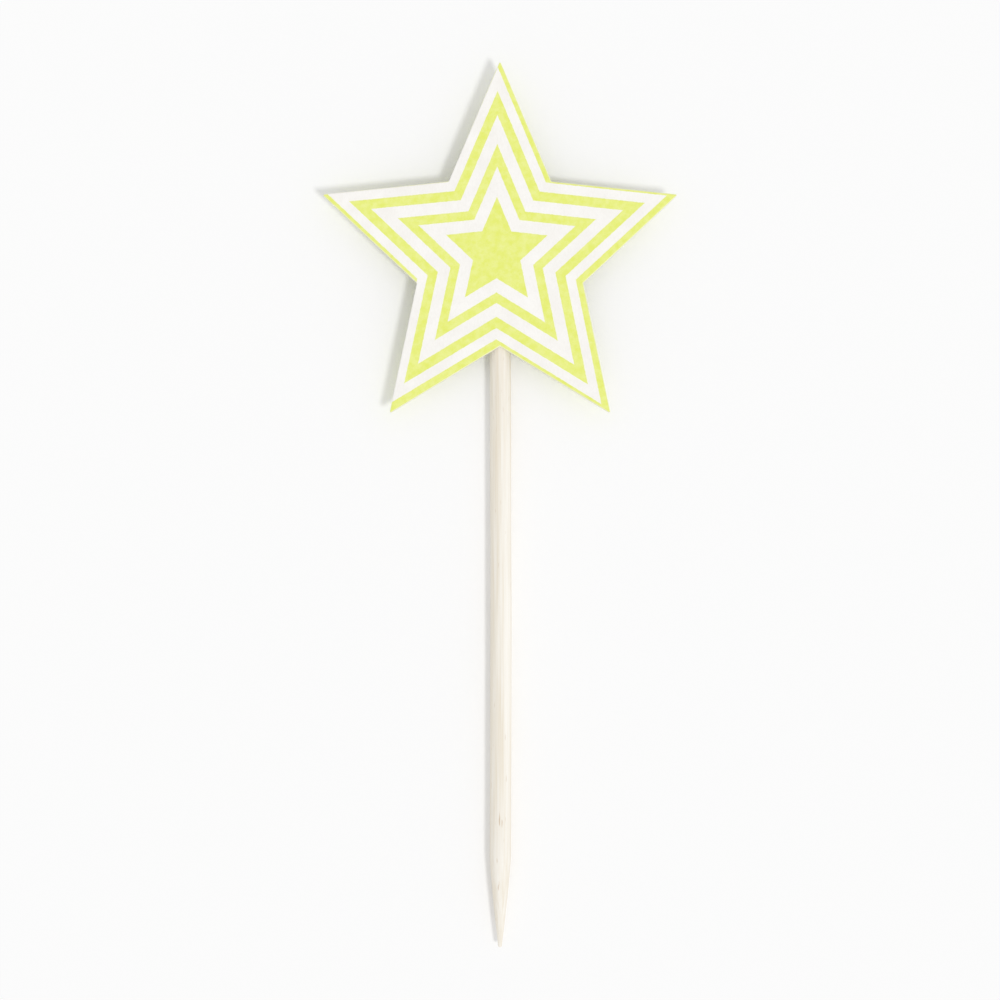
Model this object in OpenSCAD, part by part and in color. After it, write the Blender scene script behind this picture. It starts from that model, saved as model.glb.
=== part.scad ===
// Cocktail pick: a printed card star glued to the blunt end of a pointed wooden stick.
// It lies flat with the star's face up (+Z), the star's top point towards +Y and the stick's point
// towards -Y. The origin is the middle of its footprint, on the surface that the stick lies on.
// All sizes are in millimetres.

/* [Star] */
// Width of the star across its two side points
star_w = 36.8; // [24:0.1:76]
// Height of the star from its two lowest points to its top point
star_h = 36.8; // [24:0.1:76]
// How far out the notches are, as a share of how far out the points are
notch_share = 0.466; // [0.38:0.002:0.6]
// Thickness of the card
card_t = 0.4; // [0.2:0.05:1.5]

/* [Stick] */
// Length of the stick from its blunt end to its point
stick_l = 65; // [40:1:150]
// Diameter of the stick
stick_d = 2.2; // [1.6:0.1:3.2]
// Length of the ground point
point_l = 9.5; // [4:0.5:20]
// Fullness of the ground point, where 1 is a straight cone
point_fullness = 1.3; // [1:0.1:2]
// Diameter of the rounded tip
tip_d = 0.4; // [0.2:0.05:0.8]
// Width of the bevel round the blunt end
end_bevel = 0.25; // [0.1:0.05:0.5]

/* [Glued joint] */
// How far the stick reaches up behind the card, past the notch
overlap = 3.6; // [2:0.1:6]
// Thickness of the glue film between the stick and the card
glue_film = 0.05; // [0.02:0.01:0.2]
// How far the glue dab spreads over the card on each side of the stick
glue_spread = 0.8; // [0.3:0.1:1.5]
// Depth of the glue dab below the card
glue_depth = 0.9; // [0.4:0.05:1.5]
// How far each side of the glue dab slopes in on its way down
glue_slope = 0.5; // [0:0.05:0.7]
// How far the glue dab spreads past the blunt end of the stick
glue_lead = 0.9; // [0.3:0.1:2]
// Bare card left between the glue dab and the notch
glue_setback = 0.4; // [0.1:0.1:1]

/* [Hidden] */
$fn = 64;

// The star has five points, so a notch lies straight below its top point.
star_points = 5;
corner_step = 180 / star_points;

// A regular star is 0.95 times as tall as it is wide, and the rise draws it out to its height.
star_r = star_w / 2 / cos(corner_step / 2);
star_rise = star_h / (star_r * (1 + cos(corner_step)));
top_reach = star_r * star_rise;
notch_reach = top_reach * notch_share;

point_rings = 12;
tip_rings = 4;

stick_r = stick_d / 2;
tip_r = tip_d / 2;
stick_axis_z = stick_r;
card_z = stick_d + glue_film;

// The pick is as long as the star above the notch and the stick below it, and is centred on Y.
star_y = (stick_l - overlap + notch_reach - top_reach) / 2;
notch_y = star_y - notch_reach;
blunt_end_y = notch_y + overlap;
tip_y = blunt_end_y - stick_l;

glue_card_w = stick_d + 2 * glue_spread;
glue_low_y = notch_y + glue_setback;
glue_high_y = blunt_end_y + glue_lead;
glue_round_y = glue_high_y - glue_card_w / 2;
glue_l = glue_high_y - glue_low_y;
glue_foot_w = glue_card_w - 2 * glue_slope;

// Corners run from the top point round to the right, point and notch by turns.
star_outline = [
    for (corner = [0 : 2 * star_points - 1])
        let (reach = star_r * (corner % 2 == 0 ? 1 : notch_share), turn = 90 - corner * corner_step)
            [reach * cos(turn), star_rise * reach * sin(turn)]
];

// Half profile of the rounded tip: radius, then height above the tip.
tip_profile = [
    for (ring = [0 : tip_rings])
        let (turn = 90 * ring / tip_rings)
            [tip_r * sin(turn), tip_r * (1 - cos(turn))]
];

// Half profile of the ground point, from just above the tip to the full stick.
point_profile = [
    for (ring = [1 : point_rings])
        let (from_shoulder = 1 - ring / point_rings)
            [
                stick_r - (stick_r - tip_r) * pow(from_shoulder, point_fullness),
                point_l - (point_l - tip_r) * from_shoulder
            ]
];

blunt_profile = [
    [stick_r, stick_l - end_bevel],
    [stick_r - end_bevel, stick_l],
    [0, stick_l]
];

module star_card() {
    color("#e9f26c")
        translate([0, star_y, card_z])
            linear_extrude(card_t)
                polygon(star_outline);
}

module stick() {
    color("#f1eadc")
        translate([0, tip_y, stick_axis_z])
            rotate([-90, 0, 0])
                rotate_extrude()
                    polygon(concat(tip_profile, point_profile, blunt_profile));
}

// Glue between the notch and a little past the stick's end, sloping in from the card to the stick.
module glue_bar() {
    translate([0, glue_high_y, card_z])
        rotate([90, 0, 0])
            linear_extrude(glue_l)
                polygon([
                    [-glue_card_w / 2, 0],
                    [glue_card_w / 2, 0],
                    [glue_foot_w / 2, -glue_depth],
                    [-glue_foot_w / 2, -glue_depth]
                ]);
}

// Outline that the dab spreads to, seen from above: straight sides with a round upper end.
module glue_outline() {
    translate([0, 0, card_z - glue_depth])
        linear_extrude(glue_depth) {
            translate([0, glue_round_y])
                circle(d = glue_card_w);
            translate([-glue_card_w / 2, glue_low_y])
                square([glue_card_w, glue_round_y - glue_low_y]);
        }
}

module glue_dab() {
    color("#efeadb")
        difference() {
            intersection() {
                glue_bar();
                glue_outline();
            }
            stick();
        }
}

star_card();
stick();
glue_dab();
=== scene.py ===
# %% [markdown]
# # A star-topped cocktail pick
# The pick is three things: a pointed birch stick, a star cut from printed card, and the dab of
# glue that holds the one to the other. The measured model is loaded first and nothing here
# changes it. Each mesh below is built over one of its parts and takes its sizes from it, so the
# looks and the measures always agree.

# %% Load the measured model
import math

import bpy
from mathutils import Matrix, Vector, geometry, noise


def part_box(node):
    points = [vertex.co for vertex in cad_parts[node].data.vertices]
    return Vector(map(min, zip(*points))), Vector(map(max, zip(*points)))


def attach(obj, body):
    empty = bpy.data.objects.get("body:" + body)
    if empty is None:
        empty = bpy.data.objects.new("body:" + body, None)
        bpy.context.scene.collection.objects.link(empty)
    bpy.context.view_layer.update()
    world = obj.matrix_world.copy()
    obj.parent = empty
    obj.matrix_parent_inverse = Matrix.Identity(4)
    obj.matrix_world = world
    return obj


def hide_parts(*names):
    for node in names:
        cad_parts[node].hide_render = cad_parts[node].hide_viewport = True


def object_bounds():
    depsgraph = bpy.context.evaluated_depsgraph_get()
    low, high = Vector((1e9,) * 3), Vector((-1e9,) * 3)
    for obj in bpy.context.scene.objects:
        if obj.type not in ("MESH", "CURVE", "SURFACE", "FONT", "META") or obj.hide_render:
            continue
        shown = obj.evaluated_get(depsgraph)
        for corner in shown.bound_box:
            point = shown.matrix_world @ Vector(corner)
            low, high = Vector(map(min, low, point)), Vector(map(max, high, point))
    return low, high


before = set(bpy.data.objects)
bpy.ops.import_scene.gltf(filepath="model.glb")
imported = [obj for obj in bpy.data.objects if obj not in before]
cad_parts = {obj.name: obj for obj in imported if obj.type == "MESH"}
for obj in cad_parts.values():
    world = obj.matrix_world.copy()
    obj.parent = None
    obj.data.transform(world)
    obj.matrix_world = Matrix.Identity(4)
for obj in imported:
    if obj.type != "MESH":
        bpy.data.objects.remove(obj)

MM = 0.001
cad_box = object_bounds()


def in_mm(lengths):
    """Lengths in metres as rounded millimetres, for printing."""
    return [round(length / MM, 2) for length in lengths]


print("parts:", sorted(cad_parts))
print("measured box in mm:", [in_mm(corner) for corner in cad_box])

# %% [markdown]
# ## Camera
# The pick lies on a white table and is seen from almost straight above, from slightly nearer the
# stick's point. A long lens keeps the star and the point at nearly the same scale, as they are
# when the camera is far away. The distance follows from the lens and from how much of the table
# fills the picture, so the framing stays when the lens is changed.

# %% Camera above the table
# Blender takes the lens and the sensor in millimetres.
LENS = 85
SENSOR = 36
PICTURE_HEIGHT = 103 * MM
NEAREST_SEEN = 1 * MM
CAMERA_ELEVATION = math.radians(86)


def add_object(name, data):
    """Puts a mesh, lamp or camera into the scene at the origin."""
    made = bpy.data.objects.new(name, data)
    bpy.context.scene.collection.objects.link(made)
    return made


def facing(direction):
    """The turn that points a lamp or camera along a direction, with its top towards the sky."""
    return Vector(direction).to_track_quat("-Z", "Y").to_euler()


camera = add_object("camera", bpy.data.cameras.new("camera"))
camera.data.lens = LENS
camera.data.sensor_width = SENSOR
camera.data.clip_start = NEAREST_SEEN
camera_distance = PICTURE_HEIGHT * LENS / SENSOR
to_camera = Vector((0, -math.cos(CAMERA_ELEVATION), math.sin(CAMERA_ELEVATION)))
looked_at = (Vector(cad_box[0]) + Vector(cad_box[1])) / 2
camera.location = looked_at + to_camera * camera_distance
camera.rotation_euler = facing(-to_camera)
bpy.context.scene.camera = camera
bpy.context.scene.view_settings.view_transform = "Standard"
print("camera is", round(camera_distance / MM), "mm from the pick")

# %% [markdown]
# ## Lamp
# The pick is lit by one broad soft lamp from the lower right and by the white room round it. An
# area lamp would fade across the table. A sun lamp with a wide angle has the same soft edge and
# lights the whole table evenly, so the table stays white up to the horizon when the camera is low.
# Lamp and room add up to about 1 on the table, where a colour renders as it is written.

# %% Soft lamp
LAMP_SHARE = 0.25
LAMP_ELEVATION = math.radians(59)
LAMP_SOFTNESS = math.radians(12)
LAMP_SIDE = Vector((1, -1, 0)).normalized()

lamp = add_object("soft_lamp", bpy.data.lights.new("soft_lamp", "SUN"))
lamp.data.angle = LAMP_SOFTNESS
# A sun of strength pi, straight above, lights a white table to 1.
lamp.data.energy = LAMP_SHARE * math.pi / math.sin(LAMP_ELEVATION)
to_lamp = LAMP_SIDE * math.cos(LAMP_ELEVATION) + Vector((0, 0, math.sin(LAMP_ELEVATION)))
lamp.rotation_euler = facing(-to_lamp)
print("lamp strength", round(lamp.data.energy, 2))

# %% [markdown]
# ## Shader nodes in code
# A finish is a graph of small nodes, and each socket of a node takes a plain value or the output
# of another node. The graph can be laid out by hand in the shader editor, but code can take its
# sizes from the measured model and repeats exactly. These helpers keep most nodes to one line.

# %% Helpers for shader nodes


def plug(tree, socket, value):
    """Links another node's output to a socket, or sets the socket to a plain value."""
    if isinstance(value, bpy.types.NodeSocket):
        tree.links.new(value, socket)
    else:
        socket.default_value = value


def add_node(tree, kind, inputs=(), **options):
    """Adds a shader node, sets its options and fills its inputs, by name or by number."""
    made = tree.nodes.new("ShaderNode" + kind)
    for option, value in options.items():
        setattr(made, option, value)
    for socket, value in dict(inputs).items():
        plug(tree, made.inputs[socket], value)
    return made


def maths(tree, operation, *values):
    """Adds one sum and returns its result."""
    made = add_node(tree, "Math", dict(enumerate(values)), operation=operation)
    return made.outputs[0]


def between(tree, value, low, high, new_low=0.0, new_high=1.0):
    """Moves a value from one range to another with a soft start and end, and returns it."""
    ranges = {"From Min": low, "From Max": high, "To Min": new_low, "To Max": new_high}
    made = add_node(tree, "MapRange", {"Value": value, **ranges}, interpolation_type="SMOOTHSTEP")
    return made.outputs[0]


def mix_colours(tree, factor, first, second):
    """Mixes two colours by a factor and returns the result."""
    # The node has sockets for other kinds of value too: 6, 7 and output 2 are those for colours.
    made = add_node(tree, "Mix", {0: factor, 6: first, 7: second}, data_type="RGBA")
    return made.outputs[2]


def colour(code):
    """A colour as picked on a screen, such as "e7ef6f", in the linear values that shaders use."""
    levels = [int(code[start:start + 2], 16) / 255 for start in (0, 2, 4)]
    # These numbers are the screen curve of the sRGB standard.
    linear = [v / 12.92 if v <= 0.04045 else ((v + 0.055) / 1.055) ** 2.4 for v in levels]
    return linear + [1.0]


print("a screen grey of half strength in linear values:", round(colour("808080")[0], 3))

# %% [markdown]
# ## White room
# The pick lies in a white room that fills its shadows. A ring of lamps could do that, but a plain
# white world has no edges that would show in the satin glue. It lights the pick with about the
# share that the lamp leaves. Where the camera or a reflection looks straight at it, it is pure white.

# %% World
ROOM_SHARE = 0.735

world = bpy.data.worlds.new("white_room")
bpy.context.scene.world = world
world.use_nodes = True
room = world.node_tree
room.nodes.clear()
ray = add_node(room, "LightPath").outputs
seen_or_mirrored = maths(room, "MAXIMUM", ray["Is Camera Ray"], ray["Is Glossy Ray"])
seen = maths(room, "MAXIMUM", seen_or_mirrored, ray["Is Transmission Ray"])
strength = maths(room, "MULTIPLY_ADD", seen, 1 - ROOM_SHARE, ROOM_SHARE)
background = add_node(room, "Background", {"Color": (1, 1, 1, 1), "Strength": strength})
plug(room, add_node(room, "OutputWorld").inputs["Surface"], background.outputs[0])
print("room lights with", ROOM_SHARE, "and shows as 1")

# %% [markdown]
# ## Table
# The table is matt and white, and its one use is to catch the pick's shadow. A small sheet would
# do for the view from above. It is made much larger, so that its far edge stays close to the
# horizon when the camera is low, and it has no gloss, so that nothing on it moves with the camera.

# %% Table
TABLE_HALF = 3.0
TABLE_WHITE = 0.985


def new_material(name):
    """A material with a Principled shader: the material, its tree and the shader."""
    made = bpy.data.materials.new(name)
    made.use_nodes = True
    tree = made.node_tree
    return made, tree, tree.nodes["Principled BSDF"]


def add_mesh(name, points, faces):
    """A mesh object from points in metres and faces as lists of point numbers."""
    mesh = bpy.data.meshes.new(name)
    mesh.from_pydata(points, [], faces)
    mesh.validate()
    return add_object(name, mesh)


table_signs = ((-1, -1), (1, -1), (1, 1), (-1, 1))
table_corners = [(x * TABLE_HALF, y * TABLE_HALF, 0) for x, y in table_signs]
table = add_mesh("table", table_corners, [[0, 1, 2, 3]])
table_finish, _, table_shader = new_material("table_white")
table_shader.inputs["Base Color"].default_value = [TABLE_WHITE] * 3 + [1.0]
table_shader.inputs["Roughness"].default_value = 1.0
table_shader.inputs["Specular IOR Level"].default_value = 0.0
table.data.materials.append(table_finish)
print("table is", 2 * TABLE_HALF, "m wide")

# %% [markdown]
# ## Where a point is on the star
# The printed stars are nested copies of one shape, so it helps to know for each point how far out
# it is, as a share of the star: 0 in the middle and 1 on the outline. A picture could hold that,
# but it would blur close up. Here it is worked out from the point's place. The angle is folded
# until only half of one arm is left, and there the outline is a single straight line. The group
# serves the ink on both faces and the wear along the cut, each with its own middle and turn.

# %% Sizes of the star
POINTS = 5
HALF_ARM = math.pi / POINTS

card_low, card_high = (Vector(corner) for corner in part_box("star_card"))
star_reach = (card_high.x - card_low.x) / 2 / math.cos(HALF_ARM / 2)
# A regular star is wider than it is tall. This one is drawn out upwards by its rise.
star_rise = (card_high.y - card_low.y) / (star_reach * (1 + math.cos(HALF_ARM)))
star_middle = Vector((0, card_high.y - star_reach * star_rise, 0))


def evened(point):
    """A point seen from the middle of the star, as it would lie on a regular star."""
    return Vector((point.x, point.y / star_rise))


card_corners = [corner.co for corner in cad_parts["star_card"].data.vertices]
notch_reach = min(evened(corner - star_middle).length for corner in card_corners)
notch_share = notch_reach / star_reach
# Along the arm plus this slope times across the arm is the same all along one straight edge.
edge_slope = (1 - notch_share * math.cos(HALF_ARM)) / (notch_share * math.sin(HALF_ARM))
# How far the straight edges pass from the middle of the star.
edge_reach = star_reach / math.hypot(1, edge_slope)
print("points and notches reach, in mm:", in_mm([star_reach, notch_reach]))
print("rise of the star:", round(star_rise, 3))

# %% Helpers for node groups


def start_group(name, inputs, outputs):
    """An empty node group with the sockets named: the group, what it is given, what it gives."""
    group = bpy.data.node_groups.new(name, "ShaderNodeTree")
    for side, sockets in (("INPUT", inputs), ("OUTPUT", outputs)):
        for socket, kind in sockets.items():
            group.interface.new_socket(name=socket, in_out=side, socket_type="NodeSocket" + kind)
    given = group.nodes.new("NodeGroupInput").outputs
    result = group.nodes.new("NodeGroupOutput").inputs
    return group, given, result


def use_group(tree, group, **values):
    """Places a node group in a material with its own values and returns its outputs."""
    return add_node(tree, "Group", values, node_tree=group).outputs


print("node groups so far:", len(bpy.data.node_groups))

# %% Node group: share of the star
STAR_PLACE = {"Position": "Vector", "Middle": "Vector", "Turn": "Float"}


def vector_maths(tree, operation, *values):
    """Adds one sum of vectors and returns its result."""
    made = add_node(tree, "VectorMath", dict(enumerate(values)), operation=operation)
    return made.outputs[0]


def make_star_share():
    """The group that gives the share, on a star with any middle and turn."""
    group, given, result = start_group("star_share", STAR_PLACE, {"Share": "Float"})
    offset = vector_maths(group, "SUBTRACT", given["Position"], given["Middle"])
    turning = {"Vector": offset, "Angle": given["Turn"]}
    turned = add_node(group, "VectorRotate", turning, rotation_type="Z_AXIS").outputs[0]
    even = vector_maths(group, "MULTIPLY", turned, (1.0, 1 / star_rise, 1.0))
    place = add_node(group, "SeparateXYZ", {0: even}).outputs
    angle = maths(group, "ARCTAN2", place["X"], place["Y"])
    folded = maths(group, "PINGPONG", angle, HALF_ARM)
    flat = add_node(group, "CombineXYZ", {"X": place["X"], "Y": place["Y"]}).outputs[0]
    reach = add_node(group, "VectorMath", {0: flat}, operation="LENGTH").outputs["Value"]
    along = maths(group, "MULTIPLY", reach, maths(group, "COSINE", folded))
    across = maths(group, "MULTIPLY", reach, maths(group, "SINE", folded))
    total = maths(group, "MULTIPLY_ADD", across, edge_slope, along)
    plug(group, result["Share"], maths(group, "DIVIDE", total, star_reach))
    return group


star_share = make_star_share()
print("star_share has", len(star_share.nodes), "nodes")

# %% [markdown]
# ## Printed rings
# The print is one solid yellow star in the middle, two yellow rings and a yellow rim that runs off
# the card, with bare white card between them. Cutting the rings into the mesh would give the ink a
# thickness that it doesn't have, so they are a mask: a colour ramp over the share of the star, with
# a short slope at each edge where the ink has spread. A little noise moves the edges, and another
# makes the film of ink thicker and thinner, as it is on card that isn't perfectly smooth.

# %% Node group: nested star ink
# Shares of the star at which the ink ends and starts again, from the middle out.
RING_EDGES = [0.285, 0.44, 0.556, 0.706, 0.83, 0.953]
INK_SPREAD = 0.003
EDGE_WOBBLE = 0.05 * MM
# The scale of a noise is its waves in a metre, so these are waves in a millimetre.
WOBBLE_WAVES = 3.5 / MM
FILM_WAVES = 1.4 / MM
# Most of a noise lies between these two values.
NOISE_LOW, NOISE_HIGH = 0.3, 0.7
INKED, BARE = (1, 1, 1, 1), (0, 0, 0, 1)


def add_noise(tree, position, **settings):
    """Adds a noise over a place and returns its outputs."""
    return add_node(tree, "TexNoise", {"Vector": position, **settings}).outputs


def draw_rings(stops):
    """Sets the stops of a colour ramp, so that ink and bare card take turns."""
    stops[0].position = 0.0
    stops[1].position = 1.0
    inside, outside = INKED, BARE
    for edge in RING_EDGES:
        stops.new(edge - INK_SPREAD).color = inside
        stops.new(edge + INK_SPREAD).color = outside
        inside, outside = outside, inside
    stops[0].color = INKED
    stops[-1].color = INKED


def make_star_ink():
    """The group that gives where the ink is, and how thick its film is."""
    group, given, result = start_group("star_ink", STAR_PLACE, {"Ink": "Float", "Film": "Float"})
    here = given["Position"]
    swing = add_noise(group, here, Scale=WOBBLE_WAVES, Detail=2.0)["Color"]
    centred = vector_maths(group, "SUBTRACT", swing, (0.5, 0.5, 0.5))
    wobble = vector_maths(group, "MULTIPLY", centred, [2 * EDGE_WOBBLE] * 3)
    moved = vector_maths(group, "ADD", here, wobble)
    star_place = {"Position": moved, "Middle": given["Middle"], "Turn": given["Turn"]}
    rings = add_node(group, "ValToRGB", {"Fac": use_group(group, star_share, **star_place)["Share"]})
    draw_rings(rings.color_ramp.elements)
    plug(group, result["Ink"], rings.outputs["Color"])
    film = add_noise(group, here, Scale=FILM_WAVES, Detail=5.0, Roughness=0.7)["Fac"]
    plug(group, result["Film"], between(group, film, NOISE_LOW, NOISE_HIGH))
    return group


star_ink = make_star_ink()
print("star_ink has", len(star_ink.nodes), "nodes and", len(RING_EDGES), "edges of ink")

# %% [markdown]
# ## Card fibre
# Card is felted from wood fibres, so even a white face has a faint cloudy tone and a fine tooth,
# and the cut edge shows them bare. Two noises make it: a soft one for the clouds and a stretched,
# finer one for the fibres. It is one group with a grain size, because the smooth printed faces and
# the rough cut edge are the same stuff at two scales.

# %% Node group: card fibre
CLOUD_WAVES = 0.42 / MM
TONE_LOW, TONE_HIGH = 0.32, 0.68
FIBRE_SETTINGS = {"Detail": 5.0, "Roughness": 0.65, "Distortion": 0.6}


def make_card_fibre():
    """The group that gives the tone of the card and the height of its fibres."""
    inputs = {"Position": "Vector", "Grain": "Float", "Stretch": "Vector"}
    group, given, result = start_group("card_fibre", inputs, {"Tone": "Float", "Height": "Float"})
    stretched = vector_maths(group, "MULTIPLY", given["Position"], given["Stretch"])
    clouds = add_noise(group, given["Position"], Scale=CLOUD_WAVES, Detail=4.0)["Fac"]
    fibres = add_noise(group, stretched, Scale=given["Grain"], **FIBRE_SETTINGS)["Fac"]
    half_fibres = maths(group, "MULTIPLY", fibres, 0.5)
    tone = maths(group, "MULTIPLY_ADD", clouds, 0.5, half_fibres)
    plug(group, result["Tone"], between(group, tone, TONE_LOW, TONE_HIGH))
    plug(group, result["Height"], fibres)
    return group


card_fibre = make_card_fibre()
print("card_fibre has", len(card_fibre.nodes), "nodes")

# %% [markdown]
# ## Finish of the printed faces
# Both faces carry the same print, and each is a little out of register with the cut, because the
# sheet is printed first and cut afterwards. One function makes both finishes with their own shift
# and turn. The ink is a thin film, so the card's tooth still shows through it, and right along the
# cut the film is bruised and paler.

# %% Printed front and back
CARD_WHITE, CARD_SHADE = colour("fefcf8"), colour("f7f4ef")
INK_YELLOW, INK_THIN = colour("e7ef6f"), colour("eff594")
CARD_ROUGHNESS, INK_ROUGHNESS = 0.66, 0.54
FACE_FIBRE = {"Grain": 5.2 / MM, "Stretch": (1.0, 0.45, 1.0)}
FACE_TOOTH = 0.012 * MM
INK_HEIGHT = 0.25
# Share of the star at which the bruise starts, and how much of the ink is left on the cut itself.
BRUISE_START = 0.984
BRUISED_INK = 0.45
FRONT_SHIFT, FRONT_TURN = (-0.34 * MM, 0.26 * MM, 0), math.radians(0.3)
BACK_SHIFT, BACK_TURN = (0.3 * MM, -0.25 * MM, 0), math.radians(-1.4)


def place_in(tree):
    """The place of each point of a surface in the measured model, in metres."""
    return add_node(tree, "TexCoord").outputs["Object"]


def add_tooth(tree, shader, height, depth, strength):
    """Gives a surface a fine relief of a depth, from a height that changes over it."""
    bump = add_node(tree, "Bump", {"Strength": strength, "Distance": depth, "Height": height})
    plug(tree, shader.inputs["Normal"], bump.outputs[0])


def printed_face(name, shift, turn):
    """Finish of one face of the card, with the print shifted and turned against the cut."""
    material, tree, shader = new_material(name)
    here = place_in(tree)
    fibre = use_group(tree, card_fibre, Position=here, **FACE_FIBRE)
    ink = use_group(tree, star_ink, Position=here, Middle=star_middle + Vector(shift), Turn=turn)
    cut = use_group(tree, star_share, Position=here, Middle=star_middle, Turn=0.0)
    bare = mix_colours(tree, fibre["Tone"], CARD_SHADE, CARD_WHITE)
    yellow = mix_colours(tree, ink["Film"], INK_THIN, INK_YELLOW)
    ink_left = between(tree, cut["Share"], BRUISE_START, 1.0, 1.0, BRUISED_INK)
    inked = maths(tree, "MULTIPLY", ink["Ink"], ink_left)
    plug(tree, shader.inputs["Base Color"], mix_colours(tree, inked, bare, yellow))
    smoothing = INK_ROUGHNESS - CARD_ROUGHNESS
    roughness = maths(tree, "MULTIPLY_ADD", inked, smoothing, CARD_ROUGHNESS)
    plug(tree, shader.inputs["Roughness"], roughness)
    shader.inputs["Specular IOR Level"].default_value = 0.35
    height = maths(tree, "MULTIPLY_ADD", inked, INK_HEIGHT, fibre["Height"])
    add_tooth(tree, shader, height, FACE_TOOTH, strength=0.6)
    return material


printed_front = printed_face("printed_front", FRONT_SHIFT, FRONT_TURN)
printed_back = printed_face("printed_back", BACK_SHIFT, BACK_TURN)
print("print is off by, in mm:", in_mm(FRONT_SHIFT), "in front,", in_mm(BACK_SHIFT), "at the back")

# %% [markdown]
# ## Finish of the cut edge
# The knife leaves the card's layers bare: off-white, matt and finely streaked along the sheet. A
# finish of its own could be drawn for them, but they are the stuff of the faces seen from the side,
# so the same fibre group is squeezed through the thickness until its streaks lie in layers.

# %% Cut edge
LAYER_DARK, LAYER_PALE = colour("ddd6c8"), colour("f4efe6")
LAYER_FIBRE = {"Grain": 2.6 / MM, "Stretch": (1.0, 1.0, 9.0)}
LAYER_TOOTH = 0.03 * MM
LAYER_ROUGHEST, LAYER_SMOOTHEST = 0.95, 0.8


def cut_card(name):
    """Finish of the bare layers of the card."""
    material, tree, shader = new_material(name)
    fibre = use_group(tree, card_fibre, Position=place_in(tree), **LAYER_FIBRE)
    layers = mix_colours(tree, fibre["Tone"], LAYER_DARK, LAYER_PALE)
    plug(tree, shader.inputs["Base Color"], layers)
    height = fibre["Height"]
    roughness = between(tree, height, NOISE_LOW, NOISE_HIGH, LAYER_ROUGHEST, LAYER_SMOOTHEST)
    plug(tree, shader.inputs["Roughness"], roughness)
    shader.inputs["Specular IOR Level"].default_value = 0.2
    add_tooth(tree, shader, height, LAYER_TOOTH, strength=0.8)
    return material


cut_edge = cut_card("cut_edge")
print("cut edge has", len(cut_edge.node_tree.nodes), "nodes")

# %% [markdown]
# ## Outline of the star
# The star is cut from a sheet with a steel die. Ten sharp corners would draw it, but a real cut
# isn't perfect: the points are very slightly blunt, and the line wavers by hundredths of a
# millimetre. So each corner is a small arc, the straight edges between them are walked in short
# steps, and noise moves every step in or out.

# %% Outline of the cut
POINT_ROUNDING = 0.12 * MM
NOTCH_ROUNDING = 0.2 * MM
ARC_STEPS = 6
CUT_STEP = 0.3 * MM
CUT_WAVER = 0.018 * MM
WAVER_LENGTH = 1.1 * MM


def star_corner(number):
    """Corner of the sharp star, clockwise from the top point: points are even, notches odd."""
    reach = notch_reach if number % 2 else star_reach
    turn = number * HALF_ARM
    return Vector((reach * math.sin(turn), star_rise * reach * math.cos(turn)))


def corner_arc(number):
    """Points of the small arc that takes a sharp corner's place."""
    corner = star_corner(number)
    radius = NOTCH_ROUNDING if number % 2 else POINT_ROUNDING
    back = (star_corner(number - 1) - corner).normalized()
    ahead = (star_corner(number + 1) - corner).normalized()
    half = back.angle(ahead) / 2
    middle = corner + (back + ahead).normalized() * radius / math.sin(half)
    start = (corner + back * radius / math.tan(half) - middle).normalized()
    end = (corner + ahead * radius / math.tan(half) - middle).normalized()
    return [middle + start.slerp(end, step / ARC_STEPS) * radius for step in range(ARC_STEPS + 1)]


def wavered(point):
    """A point of the outline, moved in or out where the cut wavers."""
    waver = noise.noise(Vector((point.x, point.y, 0)) / WAVER_LENGTH) * CUT_WAVER
    return point + point.normalized() * waver


arcs = [corner_arc(number) for number in range(2 * POINTS)]
even_outline = []
for arc, next_arc in zip(arcs, arcs[1:] + arcs[:1]):
    even_outline += arc
    steps = round((next_arc[0] - arc[-1]).length / CUT_STEP)
    even_outline += [arc[-1].lerp(next_arc[0], step / steps) for step in range(1, steps)]
outline = [wavered(point) for point in even_outline]
print("outline has", len(outline), "points")

# %% [markdown]
# ## Edge of the star
# The die rolls the front edge over as it goes in and leaves a small burr at the back, where it
# comes out. A bevel would round both alike. Instead the outline is laid in loops from the front,
# over the edge and on to the back, each with its own inset and height. The card has also curled a
# little, most of all far from the stick, so each point is lifted by the bow of the card there.

# %% Bow of the card
BOW_ACROSS = 0.12 * MM
BOW_ALONG = 0.22 * MM
RIPPLE = 0.05 * MM
RIPPLE_LENGTH = 9 * MM
# A noise has depth too, and each use of one takes a layer of its own.
RIPPLE_LAYER = 3 * MM

card_thickness = card_high.z - card_low.z
glued_y = star_middle.y - notch_reach * star_rise


def card_bow(point):
    """How far the card has curled up at a point, almost none of it where the stick is glued on."""
    away = (point.y + star_middle.y - glued_y) / (2 * star_reach)
    ripple = noise.noise(Vector((point.x, point.y, RIPPLE_LAYER)) / RIPPLE_LENGTH) * RIPPLE
    return BOW_ACROSS * (point.x / star_reach) ** 2 + (BOW_ALONG * away + ripple) * max(0, away)


def on_card(point, height):
    """A point of the flat star, placed in the bowed card at a height from 0 at the back to 1."""
    z = card_low.z + height * card_thickness + card_bow(point)
    return Vector((point.x, point.y + star_middle.y, z))


print("bow at the top point, in mm:", in_mm([card_bow(star_corner(0))]))

# %% Loops over the edge
# Each loop is this many mm in from the cut, at this height from 0 at the back to 1 at the front.
FRONT_ROLL = [(0.30, 1.0), (0.16, 0.995), (0.08, 0.98), (0.03, 0.93), (0.005, 0.85)]
EDGE_WALL = [(0.0, 0.7), (0.008, 0.45), (0.0, 0.22)]
BACK_BURR = [(0.0, 0.05), (0.02, -0.02), (0.06, -0.015), (0.14, 0.0), (0.30, 0.0)]
FRONT, BACK, EDGE = range(3)

first_edge = len(FRONT_ROLL) - 1
first_back = len(FRONT_ROLL) + len(EDGE_WALL)
around = len(outline)


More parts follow.
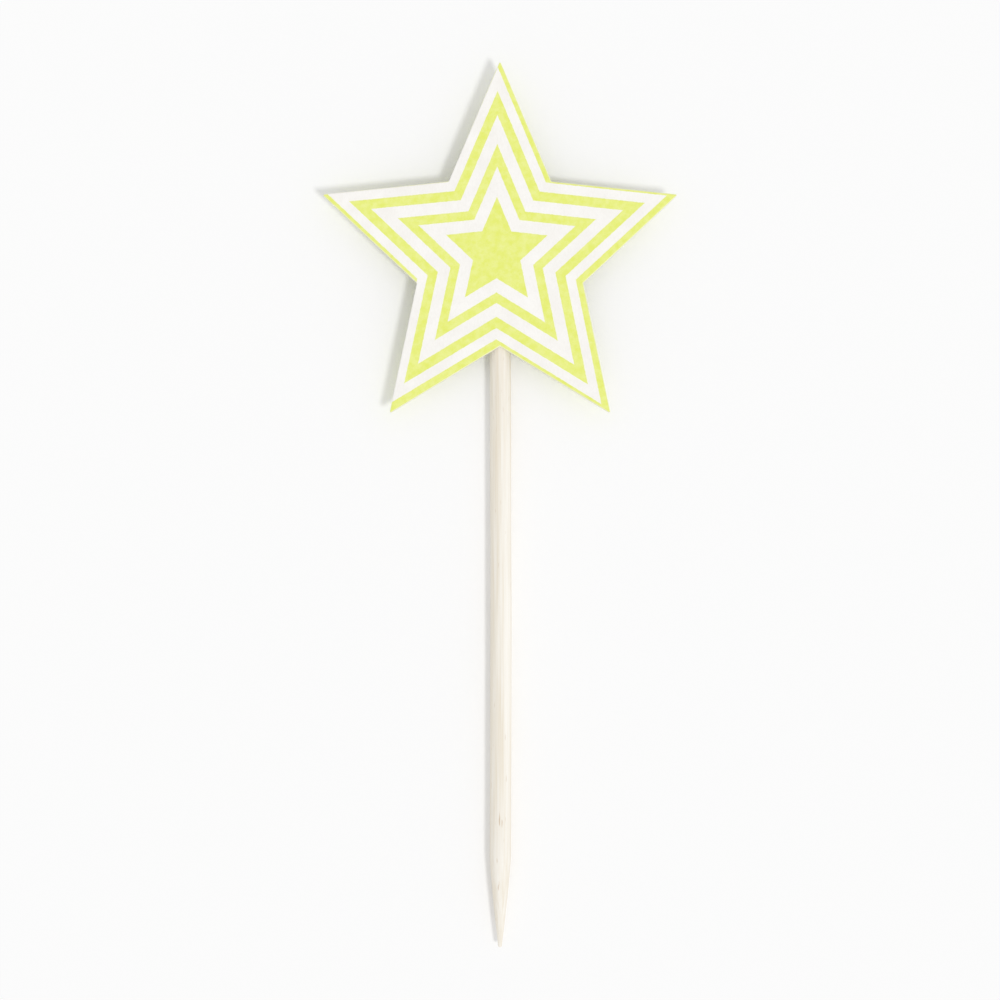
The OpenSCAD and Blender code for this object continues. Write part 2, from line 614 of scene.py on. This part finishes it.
def strip_finish(loop):
    """Finish of the strip of faces from one loop to the next."""
    if loop < first_edge:
        return FRONT
    if loop < first_back:
        return EDGE
    return BACK


places = FRONT_ROLL + EDGE_WALL + BACK_BURR
loops = [(1 - inset * MM / edge_reach, height) for inset, height in places]
star_points = [on_card(point * scale, height) for scale, height in loops for point in outline]
star_faces, star_finishes = [], []
for loop in range(len(loops) - 1):
    for step in range(around):
        this, after = loop * around + step, loop * around + (step + 1) % around
        star_faces.append([this, after, after + around, this + around])
        star_finishes.append(strip_finish(loop))
print("edge has", len(loops), "loops and", len(star_faces), "faces")

# %% [markdown]
# ## Faces of the star
# The front and the back are smooth sheets with the card's slight bow. A single face with hundreds
# of corners would fill each, but it couldn't bend. So a grid of points is laid inside the innermost
# loop and joined with it into even triangles, which bend with the card and shade smoothly.

# %% Grid inside a loop
FACE_STEP = 1.2 * MM
FACE_MARGIN = 0.6 * FACE_STEP


def share_of_star(point):
    """How far out a point is: 0 in the middle of the star and 1 on its outline."""
    even = evened(point)
    angle = math.atan2(even.x, even.y) % (2 * HALF_ARM)
    folded = min(angle, 2 * HALF_ARM - angle)
    return even.length * (math.cos(folded) + edge_slope * math.sin(folded)) / star_reach


def grid_inside(scale):
    """Points of a grid of even triangles that lie well inside a loop."""
    rows = int(star_reach / FACE_STEP) + 1
    grid = [
        Vector(((column + row % 2 / 2) * FACE_STEP, row * FACE_STEP * math.sin(math.pi / 3)))
        for row in range(-rows, rows + 1)
        for column in range(-rows, rows + 1)
    ]
    return [point for point in grid if share_of_star(point) < scale - FACE_MARGIN / edge_reach]


print("grid has", len(grid_inside(1)), "points")

# %% Front and back faces
# The triangulation gives back only the triangles inside the rim, and takes points nearer to each
# other than this, in metres, for one.
INSIDE_ONLY = 1
SAME_POINT = 1e-9


def fill_face(loop, height, finish):
    """Fills the star inside one loop with triangles at a height in the card."""
    scale = loops[loop][0]
    flat_points = [point * scale for point in outline] + grid_inside(scale)
    rim = [(step, (step + 1) % around) for step in range(around)]
    filled = geometry.delaunay_2d_cdt(flat_points, rim, [], INSIDE_ONLY, SAME_POINT)
    filled_points, _, filled_faces, origins = filled[:4]
    numbers = []
    for point, origin in zip(filled_points, origins):
        if origin and origin[0] < around:
            numbers.append(loop * around + origin[0])
        else:
            numbers.append(len(star_points))
            star_points.append(on_card(point, height))
    for face in filled_faces:
        corners = [numbers[corner] for corner in face]
        first, second, third = (star_points[corner] for corner in corners[:3])
        looks_up = (second - first).cross(third - first).z > 0
        if looks_up != (finish == FRONT):
            corners.reverse()
        star_faces.append(corners)
        star_finishes.append(finish)


fill_face(0, 1.0, FRONT)
fill_face(len(loops) - 1, 0.0, BACK)
print("star has", len(star_points), "points")

# %% Mesh of the star


def add_piece(name, points, faces, finishes, face_finishes):
    """A smooth mesh object with its finishes, and the number of one of them for each face."""
    piece = add_mesh(name, points, faces)
    for finish in finishes:
        piece.data.materials.append(finish)
    piece.data.polygons.foreach_set("material_index", face_finishes)
    piece.data.shade_smooth()
    return piece


# In the order of FRONT, BACK and EDGE.
card_finishes = [printed_front, printed_back, cut_edge]
star = add_piece("printed_star", star_points, star_faces, card_finishes, star_finishes)
print("star has", len(star.data.polygons), "faces and is, in mm:", in_mm(star.dimensions))

# %% [markdown]
# ## Birch grain
# Cocktail sticks are birch: pale cream with faint lengthwise streaks and a few short brown flecks.
# A picture wrapped round the stick would smear over the ground point and the cut end. A solid noise
# runs through the wood instead, stretched along the stick, so the point cuts it at a slant and the
# end cuts it square, as the real tools do. The group gives the streaks, the flecks and a height.

# %% Node group: birch grain
# Each noise: how far it is stretched along the stick, its waves, its detail and its own seed.
BROAD_STREAKS = (30, 0.9 / MM, 2.0, 1.0)
FINE_STRETCH, FINE_DETAIL, FINE_SEED = 45, 4.0, 5.0
FLECKS = (14, 7 / MM, 1.0, 9.0)
BROAD_SHARE, FINE_SHARE = 0.55, 0.45
# Only the peaks of their noise are flecks.
FLECK_LOW, FLECK_HIGH = 0.69, 0.76


def stretched_noise(tree, position, stretch, waves, detail, seed):
    """Noise drawn out along the stick, which lies along Y."""
    drawn_out = vector_maths(tree, "MULTIPLY", position, (1.0, 1 / stretch, 1.0))
    settings = {"Vector": drawn_out, "W": seed, "Scale": waves, "Detail": detail, "Roughness": 0.6}
    return add_node(tree, "TexNoise", settings, noise_dimensions="4D").outputs["Fac"]


def make_birch_grain():
    """The group that gives the streaks and flecks of the wood and the height of its fibres."""
    outputs = {"Streak": "Float", "Fleck": "Float", "Height": "Float"}
    inputs = {"Position": "Vector", "Fibre": "Float"}
    group, given, result = start_group("birch_grain", inputs, outputs)
    here = given["Position"]
    broad = stretched_noise(group, here, *BROAD_STREAKS)
    fine = stretched_noise(group, here, FINE_STRETCH, given["Fibre"], FINE_DETAIL, FINE_SEED)
    flecks = stretched_noise(group, here, *FLECKS)
    fine_part = maths(group, "MULTIPLY", fine, FINE_SHARE)
    streak = maths(group, "MULTIPLY_ADD", broad, BROAD_SHARE, fine_part)
    plug(group, result["Streak"], between(group, streak, NOISE_LOW, NOISE_HIGH))
    plug(group, result["Fleck"], between(group, flecks, FLECK_LOW, FLECK_HIGH))
    plug(group, result["Height"], fine)
    return group


birch_grain = make_birch_grain()
print("birch_grain has", len(birch_grain.nodes), "nodes")

# %% [markdown]
# ## Finish of the stick
# The turned side and the ground point are bare, dry wood, and the cut end is the same wood seen
# across its fibres: darker and more open. Two finishes drawn apart could drift from each other, so
# one function makes both, and each places the grain group with its own values.

# %% Birch side and birch end
FLECK_STRENGTH = 0.55
# The dark streaks are rougher than the pale wood by this.
DARK_ROUGHER = 0.1


def birch(name, light, dark, fleck, fibre, relief, roughness):
    """Bare birch with its streaks, flecks and tooth."""
    material, tree, shader = new_material(name)
    grain = use_group(tree, birch_grain, Position=place_in(tree), Fibre=fibre)
    wood = mix_colours(tree, grain["Streak"], colour(dark), colour(light))
    flecked = maths(tree, "MULTIPLY", grain["Fleck"], FLECK_STRENGTH)
    plug(tree, shader.inputs["Base Color"], mix_colours(tree, flecked, wood, colour(fleck)))
    streaky = between(tree, grain["Streak"], 0.0, 1.0, roughness + DARK_ROUGHER, roughness)
    plug(tree, shader.inputs["Roughness"], streaky)
    shader.inputs["Specular IOR Level"].default_value = 0.3
    add_tooth(tree, shader, grain["Height"], relief, strength=0.7)
    return material


birch_side = birch(
    "birch_side", light="fcf9f2", dark="ebe1ce", fleck="bd9b6f",
    fibre=5.2 / MM, relief=0.03 * MM, roughness=0.62,
)
birch_end = birch(
    "birch_end", light="e6d5b4", dark="c4a676", fleck="8d6a3f",
    fibre=6.5 / MM, relief=0.05 * MM, roughness=0.8,
)
print("each wood finish has", len(birch_side.node_tree.nodes), "nodes")

# %% [markdown]
# ## The stick
# The stick is turned from birch, ground to a long point at one end and sawn off at the other. A
# plain lathe shape would look like plastic, so each ring of the lathe is pressed in by noise that
# runs along the grain. It only ever goes inwards, and the stick is never thicker than measured.

# %% Sizes of the stick
# These four repeat sizes of the measured model that can't be read from the box of the stick.
POINT_LENGTH = 9.5 * MM
POINT_FULLNESS = 1.3
TIP_RADIUS = 0.2 * MM
END_BEVEL = 0.25 * MM

stick_low, stick_high = (Vector(corner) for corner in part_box("stick"))
stick_radius = (stick_high.x - stick_low.x) / 2
stick_length = stick_high.y - stick_low.y
bevel_start = stick_length - END_BEVEL


def radius_at(distance):
    """Radius of the stick at a distance from its tip."""
    if distance < TIP_RADIUS:
        return math.sqrt(max(0, TIP_RADIUS**2 - (TIP_RADIUS - distance) ** 2))
    if distance < POINT_LENGTH:
        from_shoulder = (POINT_LENGTH - distance) / (POINT_LENGTH - TIP_RADIUS)
        return stick_radius - (stick_radius - TIP_RADIUS) * from_shoulder**POINT_FULLNESS
    return stick_radius - max(0, distance - bevel_start)


print("length and thickness of the stick, in mm:", in_mm([stick_length, 2 * stick_radius]))

# %% Relief of the wood
GROOVE, GROOVES_PER_MM, GROOVE_LENGTH = 0.03 * MM, 4, 9 * MM
SPLIT, SPLITS_PER_MM, SPLIT_LENGTH = 0.05 * MM, 3, 6 * MM
# The wood is split only where the noise passes this. The shift keeps splits and grooves apart.
SPLIT_START = 0.35
SPLIT_SHIFT = 20
# Share of the relief that is left at the very tip.
TIP_RELIEF = 0.1


def pressed_in(turn, along, radius):
    """How far noise presses the surface in: soft grooves along the grain and a few splits."""
    x, z = math.cos(turn) * radius / MM, math.sin(turn) * radius / MM
    grooves = Vector((x * GROOVES_PER_MM, along / GROOVE_LENGTH, z * GROOVES_PER_MM))
    splits = Vector((x * SPLITS_PER_MM + SPLIT_SHIFT, along / SPLIT_LENGTH, z * SPLITS_PER_MM))
    groove = 0.5 + 0.5 * noise.noise(grooves)
    split = max(0.0, noise.noise(splits) - SPLIT_START)
    return (GROOVE * groove + SPLIT * split) * min(1.0, radius / stick_radius + TIP_RELIEF)


deepest_groove = max(pressed_in(0, place * MM, stick_radius) for place in range(10, 60))
print("deepest groove along one line of the side, in mm:", in_mm([deepest_groove]))

# %% Rings of the stick
STICK_SIDES = 96
TIP_RINGS, POINT_RINGS, SHAFT_RINGS, BEVEL_RINGS = 6, 48, 120, 4
SIDE_BOW = 0.1 * MM


def spaced(start, end, count):
    """Even places after a start, up to and with an end."""
    return [start + (end - start) * step / count for step in range(1, count + 1)]


quarter_turns = spaced(0, math.pi / 2, TIP_RINGS)
ring_places = [TIP_RADIUS * (1 - math.cos(turn)) for turn in quarter_turns]
ring_places += spaced(TIP_RADIUS, POINT_LENGTH, POINT_RINGS)
ring_places += spaced(POINT_LENGTH, bevel_start, SHAFT_RINGS)
ring_places += spaced(bevel_start, stick_length, BEVEL_RINGS)
side_turns = [2 * math.pi * side / STICK_SIDES for side in range(STICK_SIDES)]
stick_points = [Vector((0, stick_low.y, stick_radius))]
for along in ring_places:
    bow = SIDE_BOW * math.sin(math.pi * along / stick_length)
    turned_radius = radius_at(along)
    for turn in side_turns:
        radius = turned_radius - pressed_in(turn, along, turned_radius)
        x, z = bow + radius * math.cos(turn), stick_radius + radius * math.sin(turn)
        stick_points.append(Vector((x, stick_low.y + along, z)))
print("stick has", len(ring_places), "rings")

# %% [markdown]
# ## Sawn end of the stick
# A saw leaves the end slightly rough. A flat cap with bump would look right from afar, but it
# would still be flat close up. So the end is closed with smaller and smaller rings of points that
# noise sets back, and all the rings are then joined into one skin from the tip to the end.

# %% Sawn end and faces
END_RINGS = 7
SAW_MARK = 0.05 * MM
SAW_GRAIN = 0.22 * MM
SAW_LAYER = 5 * MM
SIDE, END = range(2)

for ring in range(1, END_RINGS):
    radius = (stick_radius - END_BEVEL) * (1 - ring / END_RINGS)
    for turn in side_turns:
        x, z = radius * math.cos(turn), radius * math.sin(turn)
        set_back = abs(noise.noise(Vector((x, z, SAW_LAYER)) / SAW_GRAIN)) * SAW_MARK
        stick_points.append(Vector((x, stick_high.y - set_back, stick_radius + z)))
stick_points.append(Vector((0, stick_high.y - SAW_MARK / 2, stick_radius)))

stick_faces, stick_finishes = [], []
last_side_ring = len(ring_places) - 1
last_ring = last_side_ring + END_RINGS - 1
# Point 0 is the tip, and the rings follow it.
last_start = 1 + last_ring * STICK_SIDES
for side in range(STICK_SIDES):
    after = (side + 1) % STICK_SIDES
    stick_faces.append([0, 1 + side, 1 + after])
    stick_finishes.append(SIDE)
    for ring in range(last_ring):
        low, high = 1 + ring * STICK_SIDES, 1 + (ring + 1) * STICK_SIDES
        stick_faces.append([low + side, high + side, high + after, low + after])
        stick_finishes.append(SIDE if ring < last_side_ring else END)
    stick_faces.append([last_start + side, len(stick_points) - 1, last_start + after])
    stick_finishes.append(END)
# In the order of SIDE and END.
wood_finishes = [birch_side, birch_end]
stick = add_piece("birch_stick", stick_points, stick_faces, wood_finishes, stick_finishes)
print("stick has", len(stick.data.polygons), "faces and is, in mm:", in_mm(stick.dimensions))

# %% [markdown]
# ## Finish of the glue
# The glue is a milky craft glue that has dried to a satin, faintly yellow bead. A clear glass-like
# shader would suit wet glue, but dried glue is cloudy: a soft noise in the colour makes it so, and
# a finer one makes its skin uneven. It also lets a little light into itself.

# %% Dried glue
GLUE_DARK, GLUE_PALE = colour("e9e2cd"), colour("f7f3e8")
GLUE_CLOUD_WAVES = 1.5 / MM
GLUE_CLOUD_LOW, GLUE_CLOUD_HIGH = 0.35, 0.65
SKIN_WAVES = 4.2 / MM
SKIN_RELIEF = 0.04 * MM
SKIN_SMOOTHEST, SKIN_ROUGHEST = 0.28, 0.46


def milky_glue(name):
    """Finish of craft glue that has dried to a cloudy satin."""
    material, tree, shader = new_material(name)
    here = place_in(tree)
    clouds = add_noise(tree, here, Scale=GLUE_CLOUD_WAVES, Detail=4.0)["Fac"]
    skin = add_noise(tree, here, Scale=SKIN_WAVES, Detail=3.0)["Fac"]
    cloudy = between(tree, clouds, GLUE_CLOUD_LOW, GLUE_CLOUD_HIGH)
    plug(tree, shader.inputs["Base Color"], mix_colours(tree, cloudy, GLUE_DARK, GLUE_PALE))
    roughness = between(tree, skin, NOISE_LOW, NOISE_HIGH, SKIN_SMOOTHEST, SKIN_ROUGHEST)
    plug(tree, shader.inputs["Roughness"], roughness)
    shader.inputs["Subsurface Weight"].default_value = 0.3
    shader.inputs["Subsurface Radius"].default_value = (0.6, 0.5, 0.4)
    shader.inputs["Subsurface Scale"].default_value = 0.5 * MM
    add_tooth(tree, shader, skin, SKIN_RELIEF, strength=0.5)
    return material


dried_glue = milky_glue("dried_glue")
print("glue has", len(dried_glue.node_tree.nodes), "nodes")

# %% [markdown]
# ## The glue dab
# The dab is squeezed between the stick and the card and swells out at both sides and past the
# stick's end. It could be a metaball, but then its edge on the card would be hard to control. It is a
# sheet of points instead: the top lies on the card, and for each of them a point below hangs as
# deep as the glue is there. The two layers share their rim, where the glue thins out to nothing.

# %% Outline of the dab
# Length of the rounding at the end nearest the notch. The other end is a half round.
LOW_END = 1.1 * MM
UNEVENNESS, UNEVEN_LENGTH, UNEVEN_LAYER = 0.09, 1.1 * MM, 4
# Keeps the noises of the two sides apart.
SIDES_APART = 2

glue_low, glue_high = (Vector(corner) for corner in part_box("glue_dab"))
glue_half = (glue_high.x - glue_low.x) / 2
glue_depth = glue_high.z - glue_low.z
under_card = glue_high.z


def fullness(y):
    """How full the dab is at a place along the stick: 1 in its middle, rounded to 0 at its ends."""
    low = min(1.0, (y - glue_low.y) / LOW_END)
    high = min(1.0, max(0.0, (glue_high.y - y) / glue_half))
    return math.sqrt(max(0.0, low * (2 - low) * high * (2 - high)))


def half_width(y, side):
    """Half the width of the dab at a place along the stick, on the side of -1 or 1."""
    place = Vector((side * SIDES_APART, y / UNEVEN_LENGTH, UNEVEN_LAYER))
    uneven = 1 + UNEVENNESS * noise.noise(place)
    return glue_half * fullness(y) * min(1.0, uneven)


print("width and depth of the dab, in mm:", in_mm([2 * glue_half, glue_depth]))

# %% Underside of the dab
# How much of its measured depth the dab fills.
FILLED = 0.97
LUMP, LUMP_LENGTH, LUMP_LAYER = 0.07 * MM, 0.7 * MM, 7
# The glue wets the stick out to this share of its radius.
WETTED = 0.97
# Out to this share of the wetted width it reaches the stick even where the dab is thin.
ALWAYS_WETTED = 0.9
# It goes into the wood by this much, so that no gap shows between them.
SOAKED_IN = 0.015 * MM
# How hollow the slope from the stick to the card is, where 1 is straight.
HOLLOW = 1.7
# Keeps a division from failing where the dab has no width.
TINY = 1e-6


def glue_below(x, y, half):
    """Height of the underside of the dab at a place, where half its width is as given."""
    lump = LUMP * noise.noise(Vector((x, y, 0)) / LUMP_LENGTH + Vector((0, 0, LUMP_LAYER)))
    lowest = under_card - glue_depth * FILLED * math.sqrt(fullness(y))
    if y >= stick_high.y:
        past_end = (y - stick_high.y) / (glue_high.y - stick_high.y)
        slope = max(past_end, abs(x) / max(half, TINY)) ** HOLLOW
        return lowest + (under_card - lowest) * min(1.0, slope) + lump * (1 - slope)
    wetted = WETTED * stick_radius
    if abs(x) > wetted:
        out = (abs(x) - wetted) / max(half - wetted, TINY)
        return lowest + (under_card - lowest) * min(1.0, out) ** HOLLOW + lump * out * (1 - out)
    on_stick = stick_radius + math.sqrt(stick_radius**2 - x**2) - SOAKED_IN
    return max(on_stick, lowest) if abs(x) > ALWAYS_WETTED * wetted else on_stick


print("glue between the stick and the card, in mm:", in_mm([under_card - glue_below(0, glued_y, 0)]))

# %% Rows of the dab
GLUE_ROWS = 44
GLUE_COLUMNS = 40
THINNEST = 0.004 * MM

# The first and last rows have no width, so each of them is a single point.
glue_points = [Vector((0, glue_low.y, under_card)), Vector((0, glue_high.y, under_card))]
LOW_POINT, HIGH_POINT = range(2)


def row_place(row):
    """Where a row lies along the dab. Rows are closer together towards its ends."""
    share = (1 - math.cos(math.pi * row / GLUE_ROWS)) / 2
    return glue_low.y + (glue_high.y - glue_low.y) * share


def dab_row(y):
    """Adds the points of one row and returns their numbers, on the card and below it."""
    left, right = half_width(y, -1), half_width(y, 1)
    on_top, below = [], []
    for column in range(GLUE_COLUMNS + 1):
        across = 2 * column / GLUE_COLUMNS - 1
        half = right if across > 0 else left
        x = across * half
        on_top.append(len(glue_points))
        glue_points.append(Vector((x, y, under_card)))
        if column in (0, GLUE_COLUMNS):
            below.append(on_top[-1])
        else:
            below.append(len(glue_points))
            z = min(under_card - THINNEST, glue_below(x, y, half))
            glue_points.append(Vector((x, y, z)))
    return on_top, below


low_end, high_end = ([number] * (GLUE_COLUMNS + 1) for number in (LOW_POINT, HIGH_POINT))
dab_rows = [(low_end, low_end)]
dab_rows += [dab_row(row_place(row)) for row in range(1, GLUE_ROWS)]
dab_rows.append((high_end, high_end))
print("dab has", len(dab_rows), "rows and", len(glue_points), "points")

# %% Mesh of the dab
glue_faces = []
for row, next_row in zip(dab_rows, dab_rows[1:]):
    # The layer on the card looks up and the one below looks down, so its corners are turned round.
    for numbers, next_numbers, order in zip(row, next_row, (1, -1)):
        for column in range(GLUE_COLUMNS):
            face = numbers[column:column + 2] + next_numbers[column:column + 2][::-1]
            # A point that comes twice is kept once, which leaves a triangle at the two ends.
            glue_faces.append(list(dict.fromkeys(face))[::order])
glue = add_piece("glue_bead", glue_points, glue_faces, [dried_glue], [0] * len(glue_faces))
print("glue has", len(glue.data.polygons), "faces and is, in mm:", in_mm(glue.dimensions))

# %% [markdown]
# ## Put together
# Nothing on the pick moves, so all three pieces ride on its one body. Each stands for its measured
# part, which is then hidden. The pieces could be joined into one mesh, but then none of them could
# be changed or taken away by itself.

# %% Ride and replace
for piece, part, slot in (
    (star, "star_card", "printed_card"),
    (stick, "stick", "stick_wood"),
    (glue, "glue_dab", "dried_glue"),
):
    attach(piece, "root")
    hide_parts(part)
